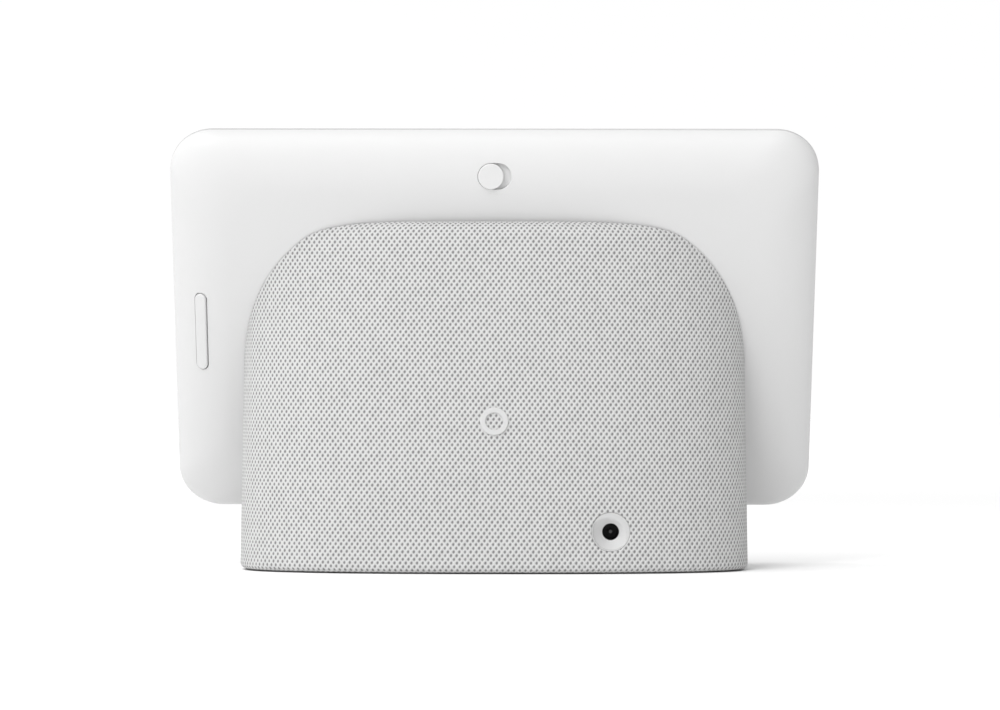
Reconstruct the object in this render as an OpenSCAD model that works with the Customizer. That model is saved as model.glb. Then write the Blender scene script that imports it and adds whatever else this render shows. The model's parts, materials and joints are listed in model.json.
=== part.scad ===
// Smart display: a flat screen head leaning back on a fabric-covered speaker base.
// +Z is up, the screen faces -Y, and the origin is on the floor at the middle of the footprint.

/* [Head] */
// Width of the screen head
head_w = 177.4; // [170:0.2:180]
// Height of the screen head, measured up the panel
head_h = 112.4; // [110:0.2:113]
// Thickness of the screen head
head_t = 10.2; // [10:0.1:10.6]
// Lean of the screen head back from upright, in degrees
lean = 24; // [23:0.5:25]
// Height of the glass's lower edge above the floor
lift = 17.83; // [17.4:0.01:18.2]
// Corner radius of the head's outline
head_r = 11.8; // [10:0.2:13]
// Width of the soft rounding round the housing's back
round_w = 16; // [14:0.5:17]
// Wall of the rear housing
wall = 2; // [1.8:0.1:2.2]
// Thickness of the front glass
glass_t = 1.1; // [0.9:0.1:1.1]
// Lit width of the screen
lcd_w = 154.2; // [150:0.1:155]
// Lit height of the screen
lcd_h = 85.9; // [84:0.1:87]

/* [Base] */
// Half width of the base at the floor
base_a = 69.5; // [68:0.1:70]
// Half depth of the base's rear curve
base_b = 33; // [32:0.5:34]
// Squareness of the base's plan curve
base_n = 2.5; // [2.4:0.1:2.8]
// Lean of the base's rear face, in degrees
rake = 11.5; // [11:0.1:12]
// Height of the base's roof
roof_z = 95.1; // [94:0.1:96]
// Thickness of the fabric sleeve
cloth_t = 1.2; // [1:0.1:1.2]
// Wall of the base shell
shell_t = 2.2; // [2:0.1:2.4]

/* [Controls] */
// Diameter of the microphone switch's knob
knob_d = 7; // [6.8:0.1:7.2]
// Travel of the microphone switch
knob_travel = 2; // [1.6:0.1:2]
// Length of the volume rocker
rocker_l = 22.5; // [21:0.5:23]
// Width of the volume rocker
rocker_w = 3.2; // [3:0.1:3.4]

/* [Power inlet] */
// Inlet's distance from the centre line
inlet_x = 31.2; // [30:0.1:32]
// Inlet's height
inlet_z = 11.2; // [11:0.1:11.6]
// Diameter of the inlet's dish
dish_d = 10.3; // [10:0.1:10.4]
// Bore of the inlet's socket
socket_d = 4.4; // [4.3:0.1:4.5]
// Diameter of the inlet's centre pin
pin_d = 0.9; // [0.8:0.1:1]

/* [Speaker] */
// Diameter of the driver's flange
driver_d = 43.5; // [43:0.5:44]
// Height of the driver's axis at the baffle
driver_z = 45; // [44:0.5:46]

/* [Hidden] */
$fn = 48;

half_d = 34.75;                       // half of the overall depth
nose = 0.122;                         // the glass edge is eased, so its sharp corner would lie this far out
back_n = head_t + 0.1 + shell_t;      // inner face of the base wall behind the head
crown = head_t - 1.5;                 // depth of the housing's soft rounding
lcd_s = head_h / 2;                   // middle of the lit area
rear0 = half_d + 2.6 * tan(rake);     // rear face of the base at floor height
mute_s = 102;                         // microphone switch, up the panel
mute_n = 1.5 + crown * sqrt(1 - pow(1 - (head_h - mute_s) / round_w, 2));
mute_tilt = 13;
vol_x = 80.85;                           // volume rocker, from the centre line
vol_s = 55.9;
vol_n = 1.5 + crown * sqrt(1 - pow(1 - (head_w / 2 - vol_x) / round_w, 2));
vol_tilt = 17.9;
neck_pts = [[-41, 30], [41, 30], [-41, 52], [41, 52]];
frame_pts = [[-60, 18], [60, 18], [-60, 56], [60, 56], [-60, 90], [60, 90]];
mic_x = [-46, 0, 46];
mic_s = 106.6;
foot_pts = [[-61, 0], [61, 0], [-30, -20], [30, -20]];
post_pts = [[-46, -8], [-21, -8], [-46, 10], [-21, 12]];
driver_pts = [45, 135, 225, 315];

// ---------- frames of reference ----------
module in_head() translate([0, -half_d - nose, lift]) rotate([-lean, 0, 0]) children();
module in_mute() in_head() translate([0, mute_n, mute_s]) rotate([mute_tilt, 0, 0]) children();
module in_vol() in_head() translate([vol_x, vol_n, vol_s]) rotate([0, 0, -vol_tilt]) children();
// driver frame: +Z fires out of the rear face, origin on the baffle's outer face
module in_driver() translate([0, rear0 - driver_z * tan(rake) - 5.6, driver_z]) rotate([-90 + rake, 0, 0]) children();
// cylinder along +Y of the head frame
module peg(x, s, n0, n1, r) translate([x, n0, s]) rotate([-90, 0, 0]) cylinder(h = n1 - n0, r = r);
module slab(x0, x1, n0, n1, s0, s1) translate([x0, n0, s0]) cube([x1 - x0, n1 - n0, s1 - s0]);
// plate in the head frame with rounded corners, from depth n0 to n1
module plate(w, h, r, n0, n1, s) translate([0, n1, s]) rotate([90, 0, 0]) linear_extrude(n1 - n0) rounded(w, h, r);
module rounded(w, h, r) {
    square([w - 2 * r, h], center = true);
    square([w, h - 2 * r], center = true);
    for (x = [-1, 1], y = [-1, 1]) translate([x * (w / 2 - r), y * (h / 2 - r)]) circle(r);
}
module stadium(l, w) {
    square([l - w, w], center = true);
    for (x = [-1, 1]) translate([x * (l - w) / 2, 0]) circle(d = w);
}

// ---------- lofted skins ----------
// closed skin through rings of equal length; the first ring is the near end
module skin(rings) {
    k = len(rings[0]);
    m = len(rings);
    polyhedron(
        points = [for (r = rings) each r],
        faces = concat(
            [[for (i = [0:k - 1]) i]],
            [for (j = [0:m - 2], i = [0:k - 1]) [j * k + i, (j + 1) * k + i, (j + 1) * k + (i + 1) % k, j * k + (i + 1) % k]],
            [[for (i = [k - 1:-1:0]) (m - 1) * k + i]]
        ), convexity = 6);
}
// outline of the head pulled in by g, at depth n
function head_ring(g, n, seg = 9) = [
    for (c = [0:3], i = [0:seg])
        let (a = 90 * c + 90 * i / seg, r = head_r,
             cx = (c == 0 || c == 3 ? 1 : -1) * (head_w / 2 - g - r),
             cs = (c < 2 ? 1 : -1) * (head_h / 2 - g - r))
        [-cx - r * cos(a), n, lcd_s + cs + r * sin(a)]];
// the head's outer body pushed out by c, from depth n0 to the back
module head_body(c, n0, w = 0, seg = 9)
    skin(concat([head_ring(w - c, n0, seg)],
        [for (t = [0:10:90]) head_ring(w - c + (round_w - w) * (1 - cos(t)), 1.5 + (crown - w + c) * sin(t), seg)]));
// plan curve of the base at height z, pulled in by g
function base_ring(z, g, zz, k = 80) = [
    for (i = [0:k - 1])
        let (t = 360 * i / k, c = cos(t), s = sin(t), yc = rear0 - base_b - z * tan(rake),
             bf = base_b - 1.6 - 0.25 * z, b = (s > 0 ? base_b : max(bf, 12)) - g)
        [sign(c) * (base_a - 0.004 * z - g) * pow(abs(c), 2 / base_n), yc + sign(s) * b * pow(abs(s), 2 / base_n), zz]];
// the base's outer body pulled in by g, with its bottom at zb and edge radii rb and rt
module base_body(g, zb, rb, rt, k = 80)
    skin(concat(
        rb > 0 ? [for (t = [0:22.5:67.5]) let (z = zb + rb * (1 - cos(t))) base_ring(z, g + rb * (1 - sin(t)), z, k)] : [base_ring(zb, g, zb, k)],
        [for (z = [zb + max(rb, 0.5), 24, 48, 72, roof_z - g - rt]) base_ring(z, g, z, k)],
        [for (t = [15:15:90]) base_ring(roof_z - g - rt + rt * sin(t), g + rt * (1 - cos(t)), roof_z - g - rt + rt * sin(t), k)]));
// flat slice of the base's plan curve
module base_slice(z0, z1, g) translate([0, 0, z0]) linear_extrude(z1 - z0) polygon([for (p = base_ring(z0, g, 0, 96)) [p[0], p[1]]]);
// everything in front of the plane at depth n behind the glass
module fore(n) in_head() slab(-120, 120, -60, n, -60, 160);

// ---------- screen head ----------
module front_glass() color("whitesmoke") in_head() resize([0, 0, 0]) difference() {
    skin([head_ring(0.3, 0), head_ring(0.1, 0.1), head_ring(0, 0.3), head_ring(0, 0.95), head_ring(0.1, glass_t)]);
    for (x = mic_x) peg(x, mic_s, -1, 2, 0.5, $fn = 16);
}
module bezel_mask() color("white") in_head() difference() {
    plate(head_w - 1.2, head_h - 1.2, 11, glass_t + 0.01, glass_t + 0.09, lcd_s);
    slab(-lcd_w / 2, lcd_w / 2, 0, 2, lcd_s - lcd_h / 2, lcd_s + lcd_h / 2);
    for (x = mic_x) peg(x, mic_s, 0, 2, 0.5);
    peg(14, mic_s, 0, 2, 1.2);
}
module touch_film() color("dimgray") in_head() plate(160, 91, 2, glass_t + 0.11, glass_t + 0.3, lcd_s);
module glass_adhesive() color("gray") in_head() difference() {
    plate(head_w - 2, head_h - 2, 10.6, glass_t + 0.11, glass_t + 0.25, lcd_s);
    slab(-83, 83, 0, 2, 5, 103);
    for (x = mic_x) peg(x, mic_s, 0, 2, 0.8);
    peg(14, mic_s, 0, 2, 1.3);
    slab(-26, -10, 0, 2, 102, 109.4);
}
module lcd_panel() color([0.06, 0.06, 0.08]) in_head() slab(-81.5, 81.5, 1.45, 2.5, 5.9, 101.5);
module backlight_unit() color("silver") in_head() difference() {
    slab(-81.5, 81.5, 2.55, 3.65, 5.9, 101.5);
    slab(-60, 60, 3.45, 4, 5, 9);
}
module mid_frame() color("lightgray") in_head() difference() {
    union() {
        difference() {
            plate(169.4, 104.4, 11.2, 1.38, 4.6, lcd_s);
            slab(-81.8, 81.8, 1, 5, 5.6, 101.8);
        }
        for (x = [-60, 60]) slab(x - 7, x + 7, 3.75, 4.6, 5, 102.5);
    }
    for (p = frame_pts) { peg(p[0], p[1], 3, 6, 1.1); peg(p[0], p[1], 3.2, 4.2, 2.05); }
    slab(-13, 13, 2.7, 6, 97, 110);
    slab(72, 90, 3.3, 6, 43, 70);
    slab(-27, -9, 1, 3.2, 101, 110);
    slab(11, 17, 1, 3.2, 101.9, 110);
    for (x = mic_x) slab(x - 3.3, x + 3.3, 1, 3.2, 103.6, 110);
}
module heat_spreader() color("lightsteelblue") in_head() difference() {
    slab(-51, 51, 3.75, 4.35, 12, 95);
    for (x = [-47, 47], s = [16, 91]) peg(x, s, 3, 5, 1.5);
}
module thermal_pad() color("plum") in_head() slab(-31, -15, 4.38, 5, 70, 86);
module main_board() color("seagreen") in_head() difference() {
    slab(-46, 46, 5.03, 5.83, 60, 95);
    for (x = [-43, 43], s = [63, 92]) peg(x, s, 4, 7, 1.2);
    slab(-14, 14, 4, 7, 93, 96);
}
module shield_cans() color("silver") in_head() {
    slab(-34, -12, 5.86, 7.1, 67, 89);
    slab(-4, 24, 5.86, 7.1, 68, 88);
}
module radar_board() color("darkgreen") in_head() { slab(-25, -11, 1.6, 2.4, 102.6, 109); slab(-21.5, -15.5, 1.3, 1.58, 103.5, 108.5); }
module light_sensor() color("darkgreen") in_head() { slab(11.5, 16.5, 1.9, 2.6, 104, 109); peg(14, mic_s, 1.3, 1.88, 0.9); }
module mic_boards() color("darkgreen") in_head() for (x = mic_x) difference() {
    slab(x - 2.8, x + 2.8, 1.8, 2.5, 104, 109);
    peg(x, mic_s, 1, 3, 0.4);
}
module mic_gaskets() color("dimgray") in_head() for (x = mic_x) difference() {
    slab(x - 2.2, x + 2.2, 1.37, 1.78, 104.6, 108.6);
    peg(x, mic_s, 1, 3, 0.6);
}
module rear_housing() color("white") resize([0, 0, 0]) difference() {
    union() {
        in_head() difference() {
            head_body(0, glass_t + 0.25);
            head_body(0, 1, wall);
        }
        intersection() {
            in_head() head_body(-0.4, 1.4);
            union() {
                in_mute() translate([0, 0.4, 0]) rotate([90, 0, 0]) linear_extrude(2.5) stadium(11.7, 10.4, $fn = 40);
                in_head() for (p = frame_pts) peg(p[0], p[1], 4.65, 9, 2.3, $fn = 20);
            }
        }
    }
    in_mute() translate([0, 3, 0]) rotate([90, 0, 0]) linear_extrude(4.3) stadium(knob_d + knob_travel + 0.3, knob_d + 0.3, $fn = 40);
    in_mute() translate([0, 0, 0]) rotate([90, 0, 0]) linear_extrude(5) stadium(2.4 + knob_travel + 0.5, 2.9, $fn = 20);
    in_vol() translate([0, 3, 0]) rotate([90, 90, 0]) linear_extrude(8) stadium(rocker_l + 0.5, rocker_w + 0.5, $fn = 24);
    in_head() for (p = neck_pts) peg(p[0], p[1], 7, 11, 1.75, $fn = 20);
    in_head() for (p = frame_pts) peg(p[0], p[1], 4, 8.4, 0.86, $fn = 16);
    in_head() slab(-9, 9, 7, 11, 37, 43);
}
module housing_screws() color("gray") in_head() for (p = frame_pts) {
    peg(p[0], p[1], 3.8, 4.19, 1.8);
    peg(p[0], p[1], 4.19, 8.2, 0.78);
}

// ---------- microphone switch ----------
module mute_knob() color("white") in_mute() translate([knob_travel / 2, 0, 0]) rotate([-90, 0, 0]) {
    rotate_extrude($fn = 64) polygon([[0, -1.1], [knob_d / 2 - 0.35, -1.1], [knob_d / 2, -0.75], [knob_d / 2, 0.35], [knob_d / 2 - 0.5, 0.6], [0, 0.6]]);
    translate([0, 0, -2.2]) cylinder(h = 1.2, d = 2.4);
}
module mute_carrier() color("gainsboro") in_mute() translate([knob_travel / 2, 0, 0]) difference() {
    translate([-4.6, -2.95, -2.7]) cube([9.2, 0.7, 5.4]);
    translate([-0.62, -3.5, -0.62]) cube([1.24, 1, 1.24]);
}
module mute_lever() color("dimgray") in_mute() translate([knob_travel / 2 - 0.6, -3.9, -0.6]) cube([1.2, 1.4, 1.2]);
module mute_switch_body() color("silver") in_mute() difference() {
    translate([-4.2, -4.3, -1.7]) cube([8.4, 1.1, 3.4]);
    translate([-2.1, -4.0, -0.95]) cube([4.2, 2, 1.9]);
}
module mute_board() color("darkgreen") in_mute() translate([-10, -4.95, -3]) cube([20, 0.6, 6]);

// ---------- volume control ----------
module volume_rocker() color("white") in_vol() {
    rotate([90, 90, 0]) translate([0, 0, -0.3]) linear_extrude(3.1) stadium(rocker_l, rocker_w);
    rotate([90, 90, 0]) translate([0, 0, -0.5]) linear_extrude(0.5) stadium(rocker_l - 0.5, rocker_w - 0.5);
    translate([-1.9, -3.3, -12.6]) cube([3.8, 0.55, 25.2]);
    for (z = [-8, 8]) translate([0, -3.3, z]) rotate([90, 0, 0]) cylinder(h = 0.2, r = 0.8);
}
module volume_board() color("darkgreen") in_vol() translate([-1.6, -4.7, -12.5]) cube([3.2, 0.7, 25]);
module volume_domes() color("goldenrod") in_vol() for (z = [-8, 8]) translate([0, -3.98, z]) rotate([-90, 0, 0]) cylinder(h = 0.43, r1 = 1.5, r2 = 0.8);

// ---------- neck ----------
module neck_bracket() color("silver") in_head() difference() {
    union() {
        slab(-47, 47, 7.1, 8.1, 24, 57.5);
        for (p = neck_pts) peg(p[0], p[1], 5, 7.2, 3.2);
    }
    for (p = neck_pts) peg(p[0], p[1], 4, 9, 1.25);
    slab(-10, 10, 6, 9, 36, 44);
}
module neck_screws() color("gray") in_head() for (p = neck_pts) {
    peg(p[0], p[1], back_n + 0.05, back_n + 1.6, 2.6);
    peg(p[0], p[1], 5.2, back_n + 0.05, 1.24);
}
module neck_flex() color("orange") in_head() {
    slab(-7, 7, 5.86, 6.02, 39, 63);
    slab(-7, 7, 5.86, back_n + 0.3, 38.84, 39);
    slab(-7, 7, back_n + 0.14, back_n + 0.3, 12, 38.84);
}

// ---------- base ----------
module fabric_sleeve() color([0.8, 0.8, 0.8]) resize([0, 0, 0]) difference() {
    base_body(0, 0.4, 1.6, 4.2);
    base_body(cloth_t, 2.2, 0.5, 3.1);
    translate([0, 0, -1]) linear_extrude(5) polygon([for (p = base_ring(1, 4, 0)) [p[0], p[1]]]);
    fore(4);
    in_head() head_body(0.3, -3);
    translate([-inlet_x, 12, inlet_z]) rotate([-90, 0, 0]) cylinder(h = 40, r = dish_d / 2 + 0.05, $fn = 48);
}
module base_shell() color("white") resize([0, 0, 0]) difference() {
    base_body(cloth_t + 0.1, 2.3, 0.5, 3);
    difference() {
        base_body(cloth_t + shell_t + 0.1, 4.5, 0.5, 0.9);
        in_head() head_body(shell_t + 0.1, -3);
        fore(4);
        for (p = foot_pts) translate([p[0], p[1], 2]) cylinder(h = 10, r = 3, $fn = 24);
    }
    fore(4);
    in_head() head_body(0.1, -3);
    translate([0, 0, 0]) linear_extrude(6) polygon([for (p = base_ring(1, 12, 0)) [p[0], p[1]]]);
    for (p = foot_pts) translate([p[0], p[1], 0]) cylinder(h = 9.5, r = 1, $fn = 16);
    translate([-inlet_x, 12, inlet_z]) rotate([-90, 0, 0]) cylinder(h = 40, r = dish_d / 2 + 0.05, $fn = 48);
    in_head() for (p = neck_pts) peg(p[0], p[1], 9, 14, 1.75, $fn = 20);
    in_head() slab(-9, 9, 9, 14, 36, 43);
    in_driver() for (x = [-15:5:15]) let (l = 2 * sqrt(18 * 18 - x * x)) translate([x, 0, -1]) linear_extrude(12) square([2.4, l], center = true);
}
module acoustic_mesh() color("dimgray") in_driver() translate([0, 0, 1.08]) cylinder(h = 0.25, d = driver_d);
module speaker_enclosure() color("dimgray") difference() {
    enclosure_block(62, 0, 0);
    enclosure_block(58, 2, 2);
    for (y = [2, 4]) translate([-40, y, 34]) rotate([0, 90, 0]) cylinder(h = 20, r = 0.65);
    in_driver() translate([0, 0, -3]) cylinder(h = 10, r = 60);
}
// wedge that fills the base behind the screen, w wide
module enclosure_block(w, g, e) {
    yr = rear0 - 5.6;
    rotate([90, 0, 90]) translate([0, 0, -w / 2]) linear_extrude(w) polygon([
        [yr - (18.6 + g) * tan(rake) + e, 18.6 + g],
        [yr - (71.4 - g) * tan(rake) + e, 71.4 - g],
        [-28.6 + (71.4 - g) * tan(lean) + g * 1.1, 71.4 - g],
        [-28.6 + (18.6 + g) * tan(lean) + g * 1.1, 18.6 + g]]);
}
module speaker_baffle() color("gray") in_driver() difference() {
    translate([-31, -26.5, -2.9]) cube([62, 53, 2.9]);
    translate([0, 0, -4]) cylinder(h = 6, r = 18.6);
    translate([0, 0, -1.35]) cylinder(h = 4, r = driver_d / 2 + 0.2);
    for (a = driver_pts) rotate(a) translate([24.4, 0, -4]) cylinder(h = 6, r = 0.8);
}
module speaker_gasket() color([0.15, 0.15, 0.15]) in_driver() translate([0, 0, 0.05]) difference() {
    cylinder(h = 1, r = driver_d / 2);
    translate([0, 0, -1]) cylinder(h = 3, r = 19.8);
}
module speaker_frame() color("darkgray") in_driver() rotate_extrude($fn = 72) polygon([
    [18.5, -1.3], [driver_d / 2, -1.3], [driver_d / 2, 0], [18.9, 0], [18.9, -0.6], [18.2, -1.3], [17.8, -4], [15.2, -7], [15.2, -8.3], [11.4, -12.2], [11.4, -13.3], [10.6, -13.3], [10.6, -13.9], [12.3, -13.9], [16.1, -9.7], [18.3, -6.6], [18.5, -3.5]]);
module speaker_yoke() color("gray") in_driver() rotate_extrude($fn = 64) polygon([
    [0, -20.4], [12, -20.4], [12, -18.9], [6.1, -18.9], [6.1, -14], [5.6, -13.5], [0, -13.5]]);
module speaker_magnet() color([0.25, 0.25, 0.27]) in_driver() translate([0, 0, -18.85]) difference() {
    cylinder(h = 3.3, r = 12.2);
    translate([0, 0, -1]) cylinder(h = 7, r = 8.4);
}
module speaker_top_plate() color("gray") in_driver() translate([0, 0, -15.5]) difference() {
    cylinder(h = 1.5, r = 12.8);
    translate([0, 0, -1]) cylinder(h = 4, r = 7.6);
}
module voice_coil() color("chocolate") in_driver() translate([0, 0, -17]) difference() {
    cylinder(h = 11.1, r = 7.2);
    translate([0, 0, -1]) cylinder(h = 14, r = 6.5);
}
module speaker_spider() color("burlywood") in_driver() rotate_extrude($fn = 64) polygon([
    [7.25, -8.9], [8.5, -8.5], [10, -9.1], [11.5, -8.5], [13, -9.1], [14.6, -8.6], [14.6, -8.3], [13, -8.8], [11.5, -8.2], [10, -8.8], [8.5, -8.2], [7.25, -8.6]]);
module speaker_cone() color("dimgray") in_driver() rotate_extrude($fn = 72) polygon([
    [7.25, -6.6], [7.25, -5.8], [15.2, -2.2], [16, -2.2], [16, -2.6], [15.4, -2.6], [7.6, -6.6]]);
module dust_cap() color("gray") in_driver() rotate_extrude($fn = 64) polygon([
    [0, -3.3], [3, -3.6], [5.5, -4.4], [7, -5.5], [7.2, -5.75], [7.2, -5.85], [6.6, -5.6], [5.3, -4.7], [3, -3.9], [0, -3.6]]);
module speaker_surround() color([0.12, 0.12, 0.12]) in_driver() rotate_extrude($fn = 72) polygon([
    [15.5, -2.15], [16.2, -2.15], [16.7, -1.5], [17.4, -1.2], [18.1, -1.5], [18.5, -0.5], [18.8, -0.5], [18.8, -0.1], [18.2, -0.1], [17.9, -0.9], [17.4, -0.8], [16.5, -1.2], [16, -1.85], [15.5, -1.85]]);
module speaker_screws() color("gray") in_driver() for (a = driver_pts) rotate(a) {
    translate([24.4, 0, 0.02]) cylinder(h = 1, r = 1.6);
    translate([24.4, 0, -2.8]) cylinder(h = 2.82, r = 0.75);
}
module ballast_plate() color("slategray") difference() {
    translate([-16, -16, 4.55]) cube([66, 34.5, 7]);
    for (x = [-10, 44]) translate([x, 12, 0]) cylinder(h = 20, r = 2);
}
module base_plate() color("whitesmoke") difference() {
    union() {
        base_slice(0.98, 2.2, 4.3);
        for (p = post_pts) translate([p[0], p[1], 1.5]) cylinder(h = 5.75, r = 2);
        for (p = post_pts) translate([p[0], p[1], 1.5]) cylinder(h = 7.1, r = 1.1);
    }
    for (p = foot_pts) translate([p[0], p[1], 0]) cylinder(h = 4, r = 1.3);
}
module rubber_foot() color("lightgray") difference() {
    base_slice(0, 0.95, 4.4);
    for (p = foot_pts) translate([p[0], p[1], -1]) cylinder(h = 4, r = 2.4);
}
module base_screws() color("gray") for (p = foot_pts) {
    translate([p[0], p[1], 0.2]) cylinder(h = 0.75, r = 2);
    translate([p[0], p[1], 0.95]) cylinder(h = 7.5, r = 0.95);
}
// the dish's lip is cut along the slope of the fabric round it
module inlet_dish() color("white") difference() {
    inlet_cone();
    translate([-inlet_x, 30.95, inlet_z]) rotate([rake, 0, 0]) rotate([0, 0, 8]) translate([-10, 0, -10]) cube([20, 10, 20]);
}
module inlet_cone() translate([-inlet_x, 0, inlet_z]) rotate([-90, 0, 0]) rotate_extrude($fn = 72) polygon([
    [socket_d / 2 + 0.05, 28.4], [dish_d / 2, 28.4], [dish_d / 2, 35], [dish_d / 2 - 0.3, 35], [dish_d / 2 - 0.3, 31.1], [socket_d / 2 + 0.2, 29.4], [socket_d / 2 + 0.05, 29.2]]);
module dc_jack_body() color([0.1, 0.1, 0.1]) difference() {
    union() {
        translate([-inlet_x - 4.5, 17.5, inlet_z - 2.8]) cube([9, 8.3, 6.4]);
        translate([-inlet_x, 25, inlet_z]) rotate([-90, 0, 0]) cylinder(h = 3.3, r = 4.6);
    }
    translate([-inlet_x, 19.4, inlet_z]) rotate([-90, 0, 0]) cylinder(h = 12, d = socket_d);
}
module dc_jack_pin() color("silver") translate([-inlet_x, 19.42, inlet_z]) rotate([-90, 0, 0]) cylinder(h = 7.4, d = pin_d);
module power_board() color("seagreen") difference() {
    translate([-54, -12, 7.3]) cube([36, 36, 1]);
    for (p = post_pts) translate([p[0], p[1], 6]) cylinder(h = 4, r = 1.15);
    translate([-54.5, 18, 6]) cube([12.5, 7, 4]);
}
module speaker_wires() color("firebrick") for (y = [2, 4]) {
    translate([-33, y, 8.4]) cylinder(h = 25.6, r = 0.6, $fn = 16);
    translate([-33, y, 34]) sphere(r = 0.6, $fn = 16);
    translate([-33, y, 34]) rotate([0, 90, 0]) cylinder(h = 9, r = 0.6, $fn = 16);
}
module badge() color("white") translate([0, rear0 - 40.7 * tan(rake) + 0.02, 40.7]) rotate([-90 + rake, 0, 0]) rotate_extrude($fn = 64) polygon([
    [2.3, 0], [3.85, 0], [3.85, 0.25], [3.65, 0.45], [2.5, 0.45], [2.3, 0.25]]);

front_glass();
bezel_mask();
touch_film();
glass_adhesive();
lcd_panel();
backlight_unit();
mid_frame();
heat_spreader();
thermal_pad();
main_board();
shield_cans();
radar_board();
light_sensor();
mic_boards();
mic_gaskets();
rear_housing();
housing_screws();
mute_knob();
mute_carrier();
mute_lever();
mute_switch_body();
mute_board();
volume_rocker();
volume_board();
volume_domes();
neck_bracket();
neck_screws();
neck_flex();
fabric_sleeve();
base_shell();
acoustic_mesh();
speaker_enclosure();
speaker_baffle();
speaker_gasket();
speaker_frame();
speaker_yoke();
speaker_magnet();
speaker_top_plate();
voice_coil();
speaker_spider();
speaker_cone();
dust_cap();
speaker_surround();
speaker_screws();
ballast_plate();
base_plate();
rubber_foot();
base_screws();
inlet_dish();
dc_jack_body();
dc_jack_pin();
power_board();
speaker_wires();
badge();
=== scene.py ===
import bpy, math, json
from mathutils import Vector, Matrix
from mathutils.geometry import delaunay_2d_cdt


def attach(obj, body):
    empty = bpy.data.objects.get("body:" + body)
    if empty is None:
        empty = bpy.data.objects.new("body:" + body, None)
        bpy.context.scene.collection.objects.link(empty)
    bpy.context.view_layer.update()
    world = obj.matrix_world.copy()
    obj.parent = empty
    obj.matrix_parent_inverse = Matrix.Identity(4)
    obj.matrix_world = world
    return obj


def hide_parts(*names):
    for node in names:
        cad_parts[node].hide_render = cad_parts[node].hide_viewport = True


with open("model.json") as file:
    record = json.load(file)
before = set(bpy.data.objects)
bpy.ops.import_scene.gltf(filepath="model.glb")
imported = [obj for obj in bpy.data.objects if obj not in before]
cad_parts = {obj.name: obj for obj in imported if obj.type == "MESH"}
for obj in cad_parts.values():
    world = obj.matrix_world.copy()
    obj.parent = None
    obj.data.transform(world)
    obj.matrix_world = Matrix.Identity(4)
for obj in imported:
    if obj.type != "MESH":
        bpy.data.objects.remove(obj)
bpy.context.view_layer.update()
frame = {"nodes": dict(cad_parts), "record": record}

scene = bpy.context.scene
rad = math.radians

# ------------------------------------------------------------------ camera
cam_data = bpy.data.cameras.new("camera")
cam = bpy.data.objects.new("camera", cam_data)
scene.collection.objects.link(cam)
scene.camera = cam
PIVOT = Vector((0, 0, 0.060))
CAM_E, CAM_D, CAM_ROLL = rad(-0.5666), 1.12255, rad(0.066)
cam.location = PIVOT + Vector((0, math.cos(CAM_E), math.sin(CAM_E))) * CAM_D
cam.rotation_euler = (Matrix.Rotation(rad(180), 3, "Z") @ Matrix.Rotation(rad(90) - CAM_E, 3, "X") @ Matrix.Rotation(CAM_ROLL, 3, "Z")).to_euler()
cam_data.sensor_width = 36
cam_data.lens = 146.88
cam_data.shift_x = 0.00564
cam_data.shift_y = -0.00445
cam_data.clip_start = 0.01
cam_data.clip_end = 50
scene.view_settings.view_transform = "Standard"
scene.view_settings.look = "None"
scene.view_settings.exposure = 0
scene.view_settings.gamma = 1

# ------------------------------------------------------------------ the object's own dimensions, mm
LEAN = rad(24)
HEAD_W, HEAD_H, HEAD_T, HEAD_R, ROUND = 177.4, 112.4, 10.2, 11.8, 16.0
CROWN = HEAD_T - 1.5
HY, HZ = -34.872, 17.83
SIN, COS = math.sin(LEAN), math.cos(LEAN)
BASE_A, BASE_B, BASE_N, RAKE, ROOF, RT, RB, HEM = 69.5, 33.0, 2.5, rad(11.5), 95.1, 4.2, 1.6, 0.4
REAR0 = 34.75 + 2.6 * math.tan(RAKE)
MUTE_S, MUTE_TILT = 102.0, rad(13)
MUTE_N = 1.5 + CROWN * math.sqrt(1 - (1 - (HEAD_H - MUTE_S) / ROUND) ** 2)
KNOB_D, KNOB_TRAVEL = 7.0, 2.0
VOL_X, VOL_S, VOL_TILT = 80.85, 55.9, rad(17.9)
VOL_N = 1.5 + CROWN * math.sqrt(1 - (1 - (HEAD_W / 2 - VOL_X) / ROUND) ** 2)
ROCK_L, ROCK_W = 22.5, 3.2
IN_X, IN_Z, DISH_R, BADGE_Z = -31.2, 11.2, 5.15, 40.7
GLASS_SIDE = 7 * (4 * 20 + 2 * 60 + 2 * 40)               # faces round the glass sheet's ground edge


def head(x, n, s):
    """head frame to row frame: x across, n depth from the glass, s up the panel"""
    return (x, HY + s * SIN + n * COS, HZ + s * COS - n * SIN)


def head_vec(x, n, s):
    return (x, s * SIN + n * COS, s * COS - n * SIN)


def to_head(p):
    y, z = p[1] - HY, p[2] - HZ
    return (p[0], y * COS - z * SIN, y * SIN + z * COS)


def crown(d, c=0.0):
    """depth of the housing's back at distance d inside the outline"""
    if d >= ROUND:
        return HEAD_T + c
    q = (ROUND - d) / (ROUND + c)
    return 1.5 + (CROWN + c) * math.sqrt(max(0.0, 1 - q * q))


def mesh_object(name, verts, faces, uvs=None, angle=35):
    me = bpy.data.meshes.new(name)
    me.from_pydata([(v[0] * 1e-3, v[1] * 1e-3, v[2] * 1e-3) for v in verts], [], faces)
    if uvs is not None:
        layer = me.uv_layers.new(name="knit")
        for loop in me.loops:
            layer.data[loop.index].uv = uvs[loop.vertex_index]
    me.validate()
    me.update()
    me.shade_smooth()
    if angle:
        me.set_sharp_from_angle(angle=rad(angle))
    ob = bpy.data.objects.new(name, me)
    scene.collection.objects.link(ob)
    return ob


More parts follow.
